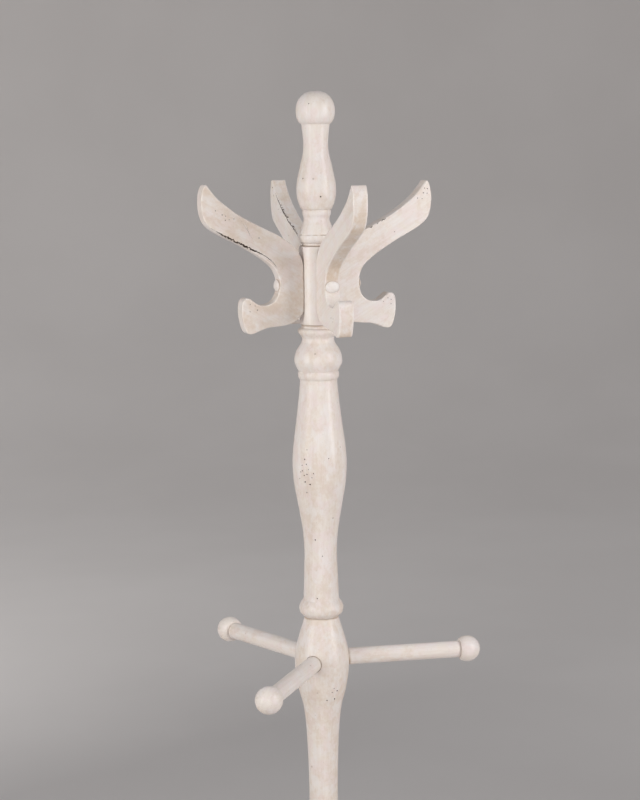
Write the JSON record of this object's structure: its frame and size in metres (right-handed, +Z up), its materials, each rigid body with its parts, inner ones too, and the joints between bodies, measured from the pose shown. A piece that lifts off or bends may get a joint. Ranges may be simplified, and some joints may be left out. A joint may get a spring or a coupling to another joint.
{
  "type": "standing coat rack",
  "caption": "Free-standing coat rack: turned wooden post with sawn double hooks near the top, ball-ended pegs at mid height and curved legs on glides.",
  "frame": {"origin": "on the floor, on the axis of the post", "axes": "+Z up along the post; hooks and legs stand along +X, +Y, -X and -Y"},
  "size_m": [0.5864, 0.5864, 1.8297],
  "materials": {
    "painted_wood": "antique cream paint with a satin lacquer, tan glaze in the grooves and rubbed lighter edges",
    "plug_paint": "whiter satin paint on the button plugs",
    "beech": "bare planed beech",
    "zinc_steel": "bright zinc plate",
    "brass": "machined brass",
    "nylon": "moulded off-white nylon"
  },
  "bodies": {
    "root": {"base_drop": "painted_wood", "leg_block": "painted_wood", "lower_post": "painted_wood", "peg_post": "painted_wood", "upper_post": "painted_wood", "hook_block": "painted_wood", "finial": "painted_wood", "lower_post_stud": "zinc_steel", "peg_post_stud": "zinc_steel", "upper_post_stud": "zinc_steel", "hook_block_stud": "zinc_steel", "finial_stud": "zinc_steel", "lower_post_insert": "brass", "peg_post_insert": "brass", "upper_post_insert": "brass", "hook_block_insert": "brass", "finial_insert": "brass", "hook_1": "painted_wood", "hook_1_screw": "zinc_steel", "hook_1_plug": "plug_paint", "hook_1_dowel": "beech", "leg_1": "painted_wood", "leg_1_screw": "zinc_steel", "leg_1_plug": "plug_paint", "leg_1_dowel": "beech", "glide_1": "nylon", "hook_2": "painted_wood", "hook_2_screw": "zinc_steel", "hook_2_plug": "plug_paint", "hook_2_dowel": "beech", "leg_2": "painted_wood", "leg_2_screw": "zinc_steel", "leg_2_plug": "plug_paint", "leg_2_dowel": "beech", "glide_2": "nylon", "hook_3": "painted_wood", "hook_3_screw": "zinc_steel", "hook_3_plug": "plug_paint", "hook_3_dowel": "beech", "leg_3": "painted_wood", "leg_3_screw": "zinc_steel", "leg_3_plug": "plug_paint", "leg_3_dowel": "beech", "glide_3": "nylon", "hook_4": "painted_wood", "hook_4_screw": "zinc_steel", "hook_4_plug": "plug_paint", "hook_4_dowel": "beech", "leg_4": "painted_wood", "leg_4_screw": "zinc_steel", "leg_4_plug": "plug_paint", "leg_4_dowel": "beech", "glide_4": "nylon", "peg_1": "painted_wood", "peg_1_ball": "painted_wood", "peg_2": "painted_wood", "peg_2_ball": "painted_wood", "peg_3": "painted_wood", "peg_3_ball": "painted_wood"}
  },
  "joints": []
}
